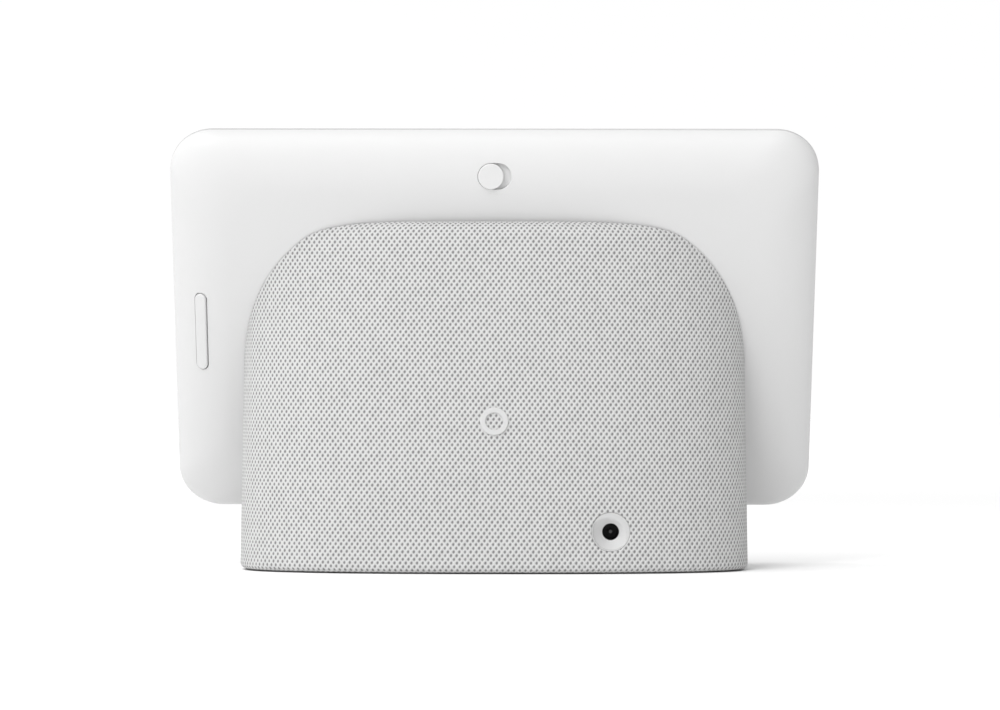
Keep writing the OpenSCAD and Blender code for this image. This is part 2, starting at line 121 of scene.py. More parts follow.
def face_out(ob, inside):
    """turns the faces so that they look away from a point inside, mm"""
    c = Vector(inside) * 1e-3
    if sum(p.area * p.normal.dot(p.center - c) for p in ob.data.polygons) < 0:
        ob.data.flip_normals()
    return ob


def place(ob, body, slot, *nodes):
    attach(ob, body)
    if nodes:
        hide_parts(*nodes)
    return ob


def bake(ob, angle=35):
    """applies the object's modifiers"""
    dg = bpy.context.evaluated_depsgraph_get()
    me = bpy.data.meshes.new_from_object(ob.evaluated_get(dg))
    old = ob.data
    ob.modifiers.clear()
    ob.data = me
    me.name = old.name
    me.shade_smooth()
    if angle:
        me.set_sharp_from_angle(angle=rad(angle))
    return ob


def stadium_point(l, w, a):
    """point and outward direction of a stadium, l long in u and w wide in v, in direction a from its centre"""
    du, dv = math.cos(a), math.sin(a)
    r, h = w / 2, (l - w) / 2
    # straight side
    if abs(dv) > 1e-9:
        t = r / abs(dv)
        if abs(t * du) <= h:
            return (t * du, t * dv), (0.0, 1.0 if dv > 0 else -1.0)
    c = h if du > 0 else -h
    b = du * c
    t = b + math.sqrt(max(0.0, b * b - c * c + r * r))
    p = (t * du, t * dv)
    return p, ((p[0] - c) / r, p[1] / r)


def grid_loop(rows, cols, at):
    """perimeter of a block of a structured grid, as indices, anticlockwise in (col, row)"""
    i0, i1 = rows
    j0, j1 = cols
    out = [at(i0, j) for j in range(j0, j1)]
    out += [at(i, j1) for i in range(i0, i1)]
    out += [at(i1, j) for j in range(j1, j0, -1)]
    out += [at(i, j0) for i in range(i1, i0, -1)]
    return out


# ------------------------------------------------------------------ rear housing
def outline(d, seg, top, side):
    """points (x, s) of the head's outline pulled in by d, anticlockwise seen from the back's own side of +s up, +x right"""
    hx, hs, r = HEAD_W / 2 - d, HEAD_H / 2 - d, HEAD_R
    ex, es = hx - r, hs - r
    pts = []
    # top edge from +x to -x, corner, left side down, corner, bottom edge, corner, right side up, corner
    for k in range(top):
        pts.append((ex * (1 - 2 * k / top), hs))
    for k in range(seg):
        a = rad(90 + 90 * k / seg)
        pts.append((-ex + r * math.cos(a), es + r * math.sin(a)))
    for k in range(side):
        pts.append((-hx, es * (1 - 2 * k / side)))
    for k in range(seg):
        a = rad(180 + 90 * k / seg)
        pts.append((-ex + r * math.cos(a), -es + r * math.sin(a)))
    for k in range(top):
        pts.append((-ex * (1 - 2 * k / top), -hs))
    for k in range(seg):
        a = rad(270 + 90 * k / seg)
        pts.append((ex + r * math.cos(a), -es + r * math.sin(a)))
    for k in range(side):
        pts.append((hx, -es * (1 - 2 * k / side)))
    for k in range(seg):
        a = rad(90 * k / seg)
        pts.append((ex + r * math.cos(a), es + r * math.sin(a)))
    return [(x, s + HEAD_H / 2) for x, s in pts]


def rear_housing():
    seg, top, side = 20, 110, 74
    prof = [(0.0, 1.36), (0.0, 1.5)]
    for k in range(1, 41):
        a = rad(90 * k / 40)
        prof.append((ROUND * (1 - math.cos(a)), 1.5 + CROWN * math.sin(a)))
    prof += [(d, HEAD_T) for d in (16.8, 18, 20, 23, 27, 32, 38, 43)]
    V, F = [], []
    per = 4 * seg + 2 * top + 2 * side
    grid_xs = []
    for d, n in prof:
        for x, s in outline(d, seg, top, side):
            V.append(head(x, n, s))
            grid_xs.append((x, s))
    at = lambda i, j: i * per + j % per
    rings = len(prof)
    # block round the microphone switch: on the top edge, columns 0..top run from +x to -x
    ds = [p[0] for p in prof]
    def block(lo, hi):
        return (max(i for i in range(2, rings) if ds[i] <= lo), min(i for i in range(rings) if ds[i] >= hi))
    mi = block(HEAD_H - MUTE_S - 5.6, HEAD_H - MUTE_S + 5.4)
    mid = top // 2
    mj = (mid - 6, mid + 6)
    vi = block(HEAD_W / 2 - VOL_X - 3.4, HEAD_W / 2 - VOL_X + 3.6)
    start = top + seg + side + seg + top + seg            # first column of the +x side, running up
    es = HEAD_H / 2 - HEAD_R
    col = lambda s: start + int(round((s - HEAD_H / 2 + es) / (2 * es) * side))
    vj = (col(VOL_S - 18.0), col(VOL_S + 18.0))           # long enough that the narrower inner end still clears the slot
    holes = [(mi, mj), (vi, vj)]
    for i in range(rings - 1):
        for j in range(per):
            if any(a[0] <= i < a[1] and b[0] <= j < b[1] for a, b in holes):
                continue
            F.append((at(i, j), at(i, j + 1), at(i + 1, j + 1), at(i + 1, j)))
    F.append(tuple(at(rings - 1, j) for j in range(per)))

    def patch(loop, frame_point, surf, l, w, fillet, wall, floor=None, inner=None, swap=False):
        """fills the block's hole: loop of vertex indices, local plane (u, v), a stadium pocket and its walls"""
        uv = [frame_point(k) for k in loop]
        rows = [loop]
        m = len(loop)
        rim = []
        for (u, v) in uv:
            a = math.atan2(v, u)
            if swap:                                     # long slot: the nearest point of its outline
                half, r = (l - w) / 2, w / 2
                b = math.atan2(u, v - half) if v > half else math.atan2(u, v + half) if v < -half else math.copysign(math.pi / 2, u)
                nu, nv = math.sin(b), math.cos(b)
                pu, pv = r * nu, max(-half, min(half, v)) + r * nv
            else:
                (pu, pv), (nu, nv) = stadium_point(l, w, a)
            rim.append((pu, pv, nu, nv))
        steps = 7
        for k in range(1, steps + 1):
            f = k / steps
            f = f * (2 - f) * 0.35 + f * 0.65
            row = []
            for (u, v), (pu, pv, nu, nv) in zip(uv, rim):
                tu, tv = pu + nu * fillet, pv + nv * fillet
                row.append(len(V))
                V.append(surf(u + (tu - u) * f, v + (tv - v) * f, 0.0))
            rows.append(row)
        for k in range(1, 7):
            a = rad(90 * k / 6)
            row = []
            for pu, pv, nu, nv in rim:
                off, dep = fillet * (1 - math.sin(a)), fillet * (1 - math.cos(a))
                row.append(len(V))
                V.append(surf(pu + nu * off, pv + nv * off, -dep))
            rows.append(row)
        for dep in wall:
            row = []
            for pu, pv, nu, nv in rim:
                row.append(len(V))
                V.append(surf(pu, pv, -dep, True))
            rows.append(row)
        if floor is not None:
            for k in range(1, 4):
                a = rad(90 * k / 3)
                row = []
                for pu, pv, nu, nv in rim:
                    row.append(len(V))
                    V.append(surf(pu - nu * 0.25 * (1 - math.cos(a)), pv - nv * 0.25 * (1 - math.cos(a)), -(floor - 0.25 + 0.25 * math.sin(a)), True))
                rows.append(row)
            for f in (0.5, 1.0):
                row = []
                for (u, v), (pu, pv, nu, nv) in zip(uv, rim):
                    (qu, qv), _ = stadium_point(inner[0], inner[1], math.atan2(v, u))
                    ou, ov = pu - nu * 0.25, pv - nv * 0.25
                    row.append(len(V))
                    V.append(surf(ou + (qu - ou) * f, ov + (qv - ov) * f, -floor, True))
                rows.append(row)
            row = []
            for (u, v) in uv:
                (qu, qv), _ = stadium_point(inner[0], inner[1], math.atan2(v, u))
                row.append(len(V))
                V.append(surf(qu, qv, -floor - 0.5, True))
            rows.append(row)
        for a, b in zip(rows, rows[1:]):
            for k in range(m):
                F.append((a[k], a[(k + 1) % m], b[(k + 1) % m], b[k]))

    # microphone switch pocket: u is x, v runs up the surface
    cm, sm = math.cos(MUTE_TILT), math.sin(MUTE_TILT)
    def m_local(k):
        x, s = grid_xs[k]
        n = crown(HEAD_H - s)
        return (x, (s - MUTE_S) * cm - (n - MUTE_N) * sm)
    def m_surf(u, v, dep, flat=False):
        # start on the tangent plane, then drop to the real surface
        s = MUTE_S + v * cm
        for _ in range(6):
            n = crown(HEAD_H - s)
            s = MUTE_S + (v + (n - MUTE_N) * sm) / cm
        n = crown(HEAD_H - s)
        y = (n - MUTE_N) * cm + (s - MUTE_S) * sm
        if flat:
            y = dep if dep < -0.9 else y + dep
        else:
            y += dep
        return head(u, MUTE_N + y * cm - v * sm, MUTE_S + y * sm + v * cm)
    patch(grid_loop(mi, mj, at), m_local, m_surf, KNOB_D + KNOB_TRAVEL + 0.16, KNOB_D + 0.16, 0.12, (0.5, 0.95), 1.3, (4.9, 2.9))

    # volume rocker slot: u is across (towards the edge), v runs up the panel
    cv, sv = math.cos(VOL_TILT), math.sin(VOL_TILT)
    def v_local(k):
        x, s = grid_xs[k]
        n = crown(HEAD_W / 2 - x)
        return ((x - VOL_X) * cv - (n - VOL_N) * sv, s - VOL_S)
    def v_surf(u, v, dep, flat=False):
        x = VOL_X + u * cv
        for _ in range(6):
            n = crown(HEAD_W / 2 - x)
            x = VOL_X + (u + (n - VOL_N) * sv) / cv
        n = crown(HEAD_W / 2 - x)
        y = (n - VOL_N) * cv + (x - VOL_X) * sv + dep
        return head(VOL_X + y * sv + u * cv, VOL_N + y * cv - u * sv, VOL_S + v)
    patch(grid_loop(vi, vj, at), v_local, v_surf, ROCK_L + 0.4, ROCK_W + 0.36, 0.14, (0.6, 1.3), swap=True)
    ob = face_out(mesh_object("head_shell", V, F, angle=0), head(0, 2.0, 56))
    m = ob.modifiers.new("wall", "SOLIDIFY")
    m.thickness = 0.0013
    m.offset = -1
    bake(ob, 40)
    return place(ob, "display", "white_plastic", "rear_housing")


# ------------------------------------------------------------------ front glass
def front_glass():
    seg, top, side = 20, 60, 40
    prof = [(0.3, 0.0), (0.17, 0.04), (0.08, 0.11), (0.02, 0.21), (0.0, 0.32), (0.0, 0.93), (0.03, 1.04), (0.1, 1.1)]
    V, F = [], []
    per = 4 * seg + 2 * top + 2 * side
    for d, n in prof:
        V += [head(x, n, s) for x, s in outline(d, seg, top, side)]
    at = lambda i, j: i * per + j % per
    for i in range(len(prof) - 1):
        for j in range(per):
            F.append((at(i, j), at(i, j + 1), at(i + 1, j + 1), at(i + 1, j)))
    k = 20
    hole = lambda x: [(x + 0.5 * math.cos(2 * math.pi * a / k), 106.6 + 0.5 * math.sin(2 * math.pi * a / k)) for a in range(k)]
    caps = []
    for row, n in ((0, 0.0), (len(prof) - 1, 1.1)):
        pts = outline(prof[row][0], seg, top, side)
        idx = [at(row, j) for j in range(per)]
        loops = [list(range(per))]
        hs = []
        for x in (-46, 0, 46):
            h = hole(x)
            loops.append(list(range(len(pts), len(pts) + k)))
            ids = list(range(len(V), len(V) + k))
            V += [head(p[0], n, p[1]) for p in h]
            pts = pts + h
            idx += ids
            hs.append(ids)
        vs, es, fs, ov, oe, of_ = delaunay_2d_cdt([Vector(p) for p in pts], [], loops, 0, 1e-7)
        keep = set()
        for f, orig in zip(fs, of_):
            if 0 in orig and not any(o in orig for o in (1, 2, 3)):
                t = [idx[ov[q][0]] for q in f]
                F.append(tuple(t if row else reversed(t)))
        caps.append(hs)
    for a, b in zip(*caps):
        for q in range(k):
            F.append((a[q], b[q], b[(q + 1) % k], a[(q + 1) % k]))
    ob = face_out(mesh_object("glass_sheet", V, F, angle=30), head(0, 0.55, 56))
    return place(ob, "display", "glass", "front_glass")


# ------------------------------------------------------------------ fabric sleeve
def tables():
    """superellipse of the base: evenly spaced points as (cos part, sin part) and the arc length from the middle of the rear"""
    N = 20000
    pts = []
    for i in range(N + 1):
        t = math.pi / 2 + 2 * math.pi * i / N
        c, s = math.cos(t), math.sin(t)
        pts.append((math.copysign(abs(c) ** (2 / BASE_N), c), math.copysign(abs(s) ** (2 / BASE_N), s)))
    acc = [0.0]
    for (a, b), (c, d) in zip(pts, pts[1:]):
        acc.append(acc[-1] + math.hypot((c - a) * BASE_A, (d - b) * BASE_B))
    return pts, acc
EPTS, EACC = tables()
EL = EACC[-1]


def half_a(z): return BASE_A - 0.004 * z
def centre_y(z): return REAR0 - BASE_B - z * math.tan(RAKE)
def front_b(z): return max(BASE_B - 1.6 - 0.25 * z, 12.0)


def base_at(c, s, z, g):
    """point of the base's outer face: c, s the superellipse parts, z height, g how far in"""
    b = BASE_B if s > 0 else front_b(z)
    return (c * (half_a(z) - g), centre_y(z) + s * (b - g), z)


def column(c, s):
    """path up the base's face at one place round it: list of (point, length so far)"""
    path = []
    for k in range(7):                                    # under the hem, from inside outwards
        path.append(base_at(c, s, HEM, 4.0 - k * (4.0 - RB) / 6))
    for k in range(1, 9):
        a = rad(90 * k / 8)
        path.append(base_at(c, s, HEM + RB * (1 - math.cos(a)), RB * (1 - math.sin(a))))
    z = HEM + RB
    top = ROOF - RT
    n = 300
    for k in range(1, n + 1):
        path.append(base_at(c, s, z + (top - z) * k / n, 0.0))
    for k in range(1, 31):
        a = rad(90 * k / 30)
        path.append(base_at(c, s, top + RT * math.sin(a), RT * (1 - math.cos(a))))
    for k in range(1, 61):
        path.append(base_at(c, s, ROOF, RT + 12.0 * k / 60))
    return path


def clear_of_head(p, c=0.14):
    x, n, s = to_head(p)
    if s < -c:
        return 1.0
    return n - crown(s, c)


def fabric_sleeve():
    NJ, NI = 420, 120
    V, UV, F = [], [], []
    cols = []
    for j in range(NJ):
        # evenly spaced by arc length; j = 0 is the middle of the rear, and it runs towards -x first
        want = EL * j / NJ
        lo, hi = 0, len(EACC) - 1
        while hi - lo > 1:
            m = (lo + hi) // 2
            if EACC[m] <= want: lo = m
            else: hi = m
        f = (want - EACC[lo]) / max(EACC[hi] - EACC[lo], 1e-12)
        c = EPTS[lo][0] + (EPTS[hi][0] - EPTS[lo][0]) * f
        s = EPTS[lo][1] + (EPTS[hi][1] - EPTS[lo][1]) * f
        cols.append((c, s, want if want <= EL / 2 else want - EL))
    rows_n = None
    for c, s, arc in cols:
        path = [Vector(p) for p in column(c, s)]
        stop = len(path) - 1
        for k in range(16, len(path)):
            if clear_of_head(path[k]) < 0:
                a, b = path[k - 1], path[k]
                for _ in range(30):
                    m = (a + b) / 2
                    if clear_of_head(m) < 0: b = m
                    else: a = m
                stop = k
                path = path[:k] + [a]
                break
        lens = [0.0]
        for a, b in zip(path, path[1:]):
            lens.append(lens[-1] + (b - a).length)
        hem = lens[14]                                     # top of the bottom edge's rounding
        base_len = lens[-1]
        # rolled end: the cloth turns in over r and runs on between base and head
        r = 0.9
        def at_len(L):
            lo, hi = 0, len(lens) - 1
            while hi - lo > 1:
                m = (lo + hi) // 2
                if lens[m] <= L: lo = m
                else: hi = m
            f = (L - lens[lo]) / max(lens[hi] - lens[lo], 1e-9)
            return path[lo].lerp(path[hi], min(max(f, 0), 1))
        E = at_len(base_len)
        T = (E - at_len(base_len - 0.5)).normalized()
        # normal of the head's skin here, by differences
        g = Vector((0, 0, 0))
        for ax in range(3):
            d = Vector((0, 0, 0)); d[ax] = 0.05
            g[ax] = clear_of_head(E + d) - clear_of_head(E - d)
        g.normalize()
        # inward: against the base's outward normal, along the head's skin
        out = Vector((math.copysign(abs(c) ** (BASE_N - 1), c) / BASE_A, math.copysign(abs(s) ** (BASE_N - 1), s) / BASE_B, 0))
        if out.length < 1e-9: out = Vector((0, 1, 0))
        out.normalize()
        onto_roof = abs(T.z) < 0.5
        if onto_roof:
            out = Vector((0, 0, 1))
        I = -(out - g * out.dot(g)).normalized()
        pts = []
        v0 = lens[14]
        for k in range(7 + 8):
            pts.append((path[k], lens[k]))
        L0, L1 = lens[14], base_len - r
        for k in range(1, NI + 1):
            L = L0 + (L1 - L0) * k / NI
            pts.append((at_len(L), L))
        P0, P1, P2 = at_len(base_len - r), E, E + I * r
        for k in range(1, 7):
            f = k / 6
            q = P0 * (1 - f) ** 2 + P1 * 2 * f * (1 - f) + P2 * f * f
            pts.append((q, L1 + 1.5 * r * f))
        pts.append((P2 + I * 0.8, L1 + 1.5 * r + 0.8))
        rows_n = len(pts)
        for q, L in pts:
            V.append(tuple(q))
            UV.append((arc, L - v0))
    R = rows_n
    at = lambda i, j: (j % NJ) * R + i
    # block round the inlet
    def xz(k): return V[k][0], V[k][2]
    js = [j for j in range(NJ // 4) if IN_X - 7.6 <= V[at(40, j)][0] <= IN_X + 7.6]
    j0, j1 = min(js), max(js)
    jc = (j0 + j1) // 2
    is_ = [i for i in range(15, R) if IN_Z - 7.4 <= V[at(i, jc)][2] <= IN_Z + 7.4]
    i0, i1 = min(is_), max(is_)
    for j in range(NJ):
        for i in range(R - 1):
            if j0 <= j < j1 and i0 <= i < i1:
                continue
            F.append((at(i, j), at(i + 1, j), at(i + 1, j + 1), at(i, j + 1)))
    loop = [at(i0, j) for j in range(j0, j1)] + [at(i, j1) for i in range(i0, i1)] + [at(i1, j) for j in range(j1, j0, -1)] + [at(i, j0) for i in range(i1, i0, -1)]
    # arc length and height along the face for any (x, z) on the rear
    xs = sorted((V[at(40, j)][0] / half_a(V[at(40, j)][2]), UV[at(40, j)][0]) for j in range(NJ // 4 - 4))
    def arc_of(u):
        for (a, b), (c, d) in zip(xs, xs[1:]):
            if a <= u <= c:
                return b + (d - b) * (u - a) / (c - a)
        return xs[-1][1]
    zs = sorted((V[at(i, jc)][2], UV[at(i, jc)][1]) for i in range(15, R - 8))
    def height_of(z):
        for (a, b), (c, d) in zip(zs, zs[1:]):
            if a <= z <= c:
                return b + (d - b) * (z - a) / (c - a)
        return zs[0][1]
    def rear(x, z):
        u = min(abs(x) / half_a(z), 1)
        return centre_y(z) + BASE_B * (1 - u ** BASE_N) ** (1 / BASE_N)
    def add(x, z, dep, extra=0.0):
        V.append((x, rear(x, z) - dep, z))
        UV.append((arc_of(x / half_a(z)), height_of(z)))
        return len(V) - 1
    rows = [loop]
    dirs = []
    for k in loop:
        x, z = xz(k)
        a = math.atan2(z - IN_Z, x - IN_X)
        dirs.append((x, z, math.cos(a), math.sin(a)))
    hole_r, fil = DISH_R + 0.06, 0.32
    for k in range(1, 8):
        f = k / 7
        rows.append([add(x + (IN_X + cx * (hole_r + fil) - x) * f, z + (IN_Z + cz * (hole_r + fil) - z) * f, 0.0) for x, z, cx, cz in dirs])
    for k in range(1, 6):
        a = rad(90 * k / 5)
        rr, dep = hole_r + fil * (1 - math.sin(a)), fil * (1 - math.cos(a))
        rows.append([add(IN_X + cx * rr, IN_Z + cz * rr, dep) for x, z, cx, cz in dirs])
    rows.append([add(IN_X + cx * hole_r, IN_Z + cz * hole_r, 1.1) for x, z, cx, cz in dirs])
    m = len(loop)
    for a, b in zip(rows, rows[1:]):
        for k in range(m):
            F.append((a[k], b[k], b[(k + 1) % m], a[(k + 1) % m]))
    ob = face_out(mesh_object("knit_sleeve", V, F, uvs=UV, angle=0), (0, 5, 40))
    m = ob.modifiers.new("cloth", "SOLIDIFY")
    m.thickness = 0.0007
    m.offset = -1
    bake(ob, 50)
    return place(ob, "display", "knit_cloth", "fabric_sleeve")


# ------------------------------------------------------------------ small round pieces
def revolve(name, prof, frame_fn, seg=128, lid=None, angle=30):
    """turns (r, h) round the local axis; frame_fn(u, v, h) gives the row-frame point. r = 0 ends close on a point."""
    V, F, rows = [], [], []
    for r, h in prof:
        if r < 1e-6:
            V.append(frame_fn(0, 0, h))
            rows.append([len(V) - 1])
            continue
        row = []
        for k in range(seg):
            a = 2 * math.pi * k / seg
            hh = h if lid is None else min(h, lid(r * math.cos(a), r * math.sin(a)))
            V.append(frame_fn(r * math.cos(a), r * math.sin(a), hh))
            row.append(len(V) - 1)
        rows.append(row)
    for a, b in zip(rows, rows[1:]):
        for k in range(seg):
            q = (k + 1) % seg
            if len(a) == 1:
                F.append((a[0], b[q], b[k]))
            elif len(b) == 1:
                F.append((a[k], a[q], b[0]))
            else:
                F.append((a[k], a[q], b[q], b[k]))
    return mesh_object(name, V, F, angle=angle)


def arc2(cx, cy, r, a0, a1, n):
    return [(cx + r * math.cos(rad(a0 + (a1 - a0) * k / n)), cy + r * math.sin(rad(a0 + (a1 - a0) * k / n))) for k in range(n + 1)]


def mute_frame(u, v, h):
    cm, sm = math.cos(MUTE_TILT), math.sin(MUTE_TILT)
    return head(u, MUTE_N + h * cm - v * sm, MUTE_S + h * sm + v * cm)


def mute_knob():
    R = KNOB_D / 2
    prof = [(0, -2.2), (1.2, -2.2), (1.2, -1.1), (R - 0.3, -1.1)] + arc2(R - 0.3, -0.8, 0.3, -90, 0, 5) + [(R, 0.0)] \
        + arc2(R - 0.26, 0.3, 0.26, 0, 90, 8) + [(R - 0.5, 0.562), (R - 1.2, 0.56), (R - 2.2, 0.57), (1.0, 0.56), (0, 0.56)]
    f = lambda u, v, h: mute_frame(u + KNOB_TRAVEL / 2, v, h)
    ob = face_out(revolve("slider_knob", prof, f, 96, angle=40), f(0, 0, -0.3))
    return place(ob, "mute_slider", "white_plastic", "mute_knob")


def vol_frame(u, v, h):
    cv, sv = math.cos(VOL_TILT), math.sin(VOL_TILT)
    return head(VOL_X + h * sv + u * cv, VOL_N + h * cv - u * sv, VOL_S + v)


def volume_rocker():
    seg = 120
    V, F = [], []
    prof = [(0.3, -2.75), (0.0, -2.5), (0.0, 0.05)] + [(0.4 - 0.4 * math.cos(rad(a)), 0.08 + 0.4 * math.sin(rad(a))) for a in (0, 15, 30, 45, 60, 75, 90)] + [(0.7, 0.49), (1.1, 0.5), (1.5, 0.5)]
    for ins, h in prof:
        for k in range(seg):
            a = 2 * math.pi * k / seg
            # even spacing round the stadium
            r, hl = ROCK_W / 2, (ROCK_L - ROCK_W) / 2
            rr = max(r - ins, 0.02)
            L = 4 * hl + 2 * math.pi * r
            t = L * k / seg
            if t < 2 * hl:
                p = (rr, -hl + t)
            elif t < 2 * hl + math.pi * r:
                b = (t - 2 * hl) / r
                p = (rr * math.cos(b), hl + rr * math.sin(b))
            elif t < 4 * hl + math.pi * r:
                p = (-rr, hl - (t - 2 * hl - math.pi * r))
            else:
                b = (t - 4 * hl - math.pi * r) / r
                p = (-rr * math.cos(b), -hl - rr * math.sin(b))
            V.append(vol_frame(p[0], p[1], h))
    at = lambda i, k: i * seg + k % seg
    for i in range(len(prof) - 1):
        for k in range(seg):
            F.append((at(i, k), at(i + 1, k), at(i + 1, k + 1), at(i, k + 1)))
    F.append(tuple(at(len(prof) - 1, k) for k in range(seg)))
    F.append(tuple(at(0, k) for k in reversed(range(seg))))
    # retaining flange and the two nubs that press the domes
    def boxy(u0, u1, v0, v1, h0, h1):
        b = len(V)
        for h in (h0, h1):
            for u, v in ((u0, v0), (u1, v0), (u1, v1), (u0, v1)):
                V.append(vol_frame(u, v, h))
        F.extend([(b, b + 1, b + 2, b + 3), (b + 7, b + 6, b + 5, b + 4)])
        for k in range(4):
            q = (k + 1) % 4
            F.append((b + k, b + 4 + k, b + 4 + q, b + q))
    boxy(-1.9, 1.9, -12.6, 12.6, -3.3, -2.76)
    for v in (-8, 8):
        boxy(-0.7, 0.7, v - 0.7, v + 0.7, -3.5, -3.3)
    ob = face_out(mesh_object("rocker_key", V, F, angle=40), vol_frame(0, 0, -1))
    return place(ob, "volume_key", "white_plastic", "volume_rocker")


def inlet_frame(u, v, h):
    return (IN_X + u, h, IN_Z + v)


def rear_y(x, z):
    u = min(abs(x) / half_a(z), 1)
    return centre_y(z) + BASE_B * (1 - u ** BASE_N) ** (1 / BASE_N)


def inlet_dish():
    lid = lambda u, v: rear_y(IN_X + u, IN_Z + v) + 0.04
    R = DISH_R
    prof = [(2.25, 28.4), (R, 28.4), (R, 40.0)] + [(R - 0.12, 39.0), (R - 0.26, 39.0)] + [(R - 0.3, 30.95), (R - 0.42, 30.8)]
    cone = [(4.4, 30.62), (3.9, 30.3), (3.4, 29.97), (2.9, 29.63), (2.55, 29.38)]
    prof += cone + arc2(2.55, 29.08, 0.3, 90, 180, 6) + [(2.25, 28.4)]
    # the lip follows the cloth; the inner lip sits a little lower than its crown
    def lid2(u, v):
        r = math.hypot(u, v)
        e = 0.0 if r > R - 0.01 else (0.05 if r > R - 0.2 else 0.0)
        return rear_y(IN_X + u, IN_Z + v) + e - 0.22
    ob = revolve("inlet_ring", prof, inlet_frame, 144, lid=lid2, angle=38)
    return place(ob, "display", "white_plastic", "inlet_dish")


def badge():
    c, s = math.cos(RAKE), math.sin(RAKE)
    y0 = REAR0 - BADGE_Z * math.tan(RAKE) + 0.02
    f = lambda u, v, h: (u, y0 + h * c - v * s, BADGE_Z + h * s + v * c)
    prof = [(2.3, 0.0)] + [(3.85, 0.0)] + arc2(3.85 - 0.3, 0.12, 0.3, 0, 90, 6) + arc2(2.3 + 0.3, 0.12, 0.3, 90, 180, 6) + [(2.3, 0.0)]
    ob = revolve("badge_ring", prof, f, 96, angle=40)
    ob.data.flip_normals()
    return place(ob, "display", "badge_plastic", "badge")


# ------------------------------------------------------------------ materials
class Nodes:
    def __init__(self, name):
        self.mat = bpy.data.materials.new(name)
        self.mat.use_nodes = True
        self.nt = self.mat.node_tree
        self.bsdf = self.nt.nodes["Principled BSDF"]
        self.out = self.nt.nodes["Material Output"]

    def node(self, kind, **kw):
        n = self.nt.nodes.new(kind)
        for k, v in kw.items():
            setattr(n, k, v)
        return n

    def set(self, sock, v):
        if hasattr(v, "is_output") or isinstance(v, bpy.types.NodeSocket):
            self.nt.links.new(v, sock)
        else:
            sock.default_value = v

    def math(self, op, a, b=0.0, c=0.0, clamp=False):
        n = self.node("ShaderNodeMath", operation=op, use_clamp=clamp)
        self.set(n.inputs[0], a)
        self.set(n.inputs[1], b)
        if len(n.inputs) > 2:
            self.set(n.inputs[2], c)
        return n.outputs[0]

    def object_coords(self, scale=1.0):
        t = self.node("ShaderNodeTexCoord")
        if scale == 1.0:
            return t.outputs["Object"]
        m = self.node("ShaderNodeVectorMath", operation="SCALE")
        self.nt.links.new(t.outputs["Object"], m.inputs[0])
        m.inputs["Scale"].default_value = scale
        return m.outputs[0]

    def noise(self, scale, detail=3.0, rough=0.5, coords=None):
        n = self.node("ShaderNodeTexNoise")
        n.inputs["Scale"].default_value = scale
        n.inputs["Detail"].default_value = detail
        n.inputs["Roughness"].default_value = rough
        self.nt.links.new(coords if coords is not None else self.object_coords(), n.inputs["Vector"])
        return n.outputs["Fac"]

    def ramp(self, fac, lo, hi, a, b):
        n = self.node("ShaderNodeMapRange", interpolation_type="SMOOTHSTEP")
        self.set(n.inputs["Value"], fac)
        n.inputs["From Min"].default_value = lo
        n.inputs["From Max"].default_value = hi
        n.inputs["To Min"].default_value = a
        n.inputs["To Max"].default_value = b
        return n.outputs["Result"]

    def mix(self, fac, a, b):
        n = self.node("ShaderNodeMix", data_type="RGBA")
        self.set(n.inputs[0], fac)
        for i, v in ((6, a), (7, b)):
            self.set(n.inputs[i], v if not isinstance(v, tuple) else (*v, 1.0) if len(v) == 3 else v)
        return n.outputs[2]

    def bump(self, height, dist, strength=1.0, normal=None):
        n = self.node("ShaderNodeBump")
        n.inputs["Distance"].default_value = dist
        n.inputs["Strength"].default_value = strength
        self.nt.links.new(height, n.inputs["Height"])
        if normal is not None:
            self.nt.links.new(normal, n.inputs["Normal"])
        return n.outputs["Normal"]

    def base(self, v): self.set(self.bsdf.inputs["Base Color"], v if not isinstance(v, tuple) else (*v, 1.0))
    def rough(self, v): self.set(self.bsdf.inputs["Roughness"], v)
    def normal(self, v): self.set(self.bsdf.inputs["Normal"], v)


def srgb(v):
    v = v / 255
    return v / 12.92 if v <= 0.04045 else ((v + 0.055) / 1.055) ** 2.4


def plastic(name, tone, spread=0.012, rough=0.42, rvar=0.05, grain=0.000012, scale=1400, spec=0.4, tint=(1, 1, 1)):
    m = Nodes(name)
    big = m.noise(38, 3)
    a = tuple(max(0.0, (tone - spread) * t) for t in tint)
    b = tuple(min(1.0, (tone + spread) * t) for t in tint)
    m.base(m.mix(big, a, b))
    fine = m.noise(scale, 2, 0.6)
    m.rough(m.ramp(m.noise(90, 4), 0.25, 0.75, rough - rvar, rough + rvar))
    m.normal(m.bump(fine, grain))
    m.bsdf.inputs["Specular IOR Level"].default_value = spec
    return m.mat


def metal(name, tone, rough=0.32, brushed=(1, 1, 18), tint=(1, 1, 1), grain=0.00001):
    m = Nodes(name)
    mp = m.node("ShaderNodeMapping")
    m.nt.links.new(m.object_coords(), mp.inputs["Vector"])
    mp.inputs["Scale"].default_value = brushed
    n = m.noise(160, 4, 0.6, mp.outputs[0])
    a = tuple(tone * 0.86 * t for t in tint)
    b = tuple(min(1, tone * 1.06 * t) for t in tint)
    m.base(m.mix(n, a, b))
    m.bsdf.inputs["Metallic"].default_value = 1.0
    m.rough(m.ramp(n, 0.3, 0.7, rough - 0.08, rough + 0.1))
    m.normal(m.bump(n, grain))
    return m.mat


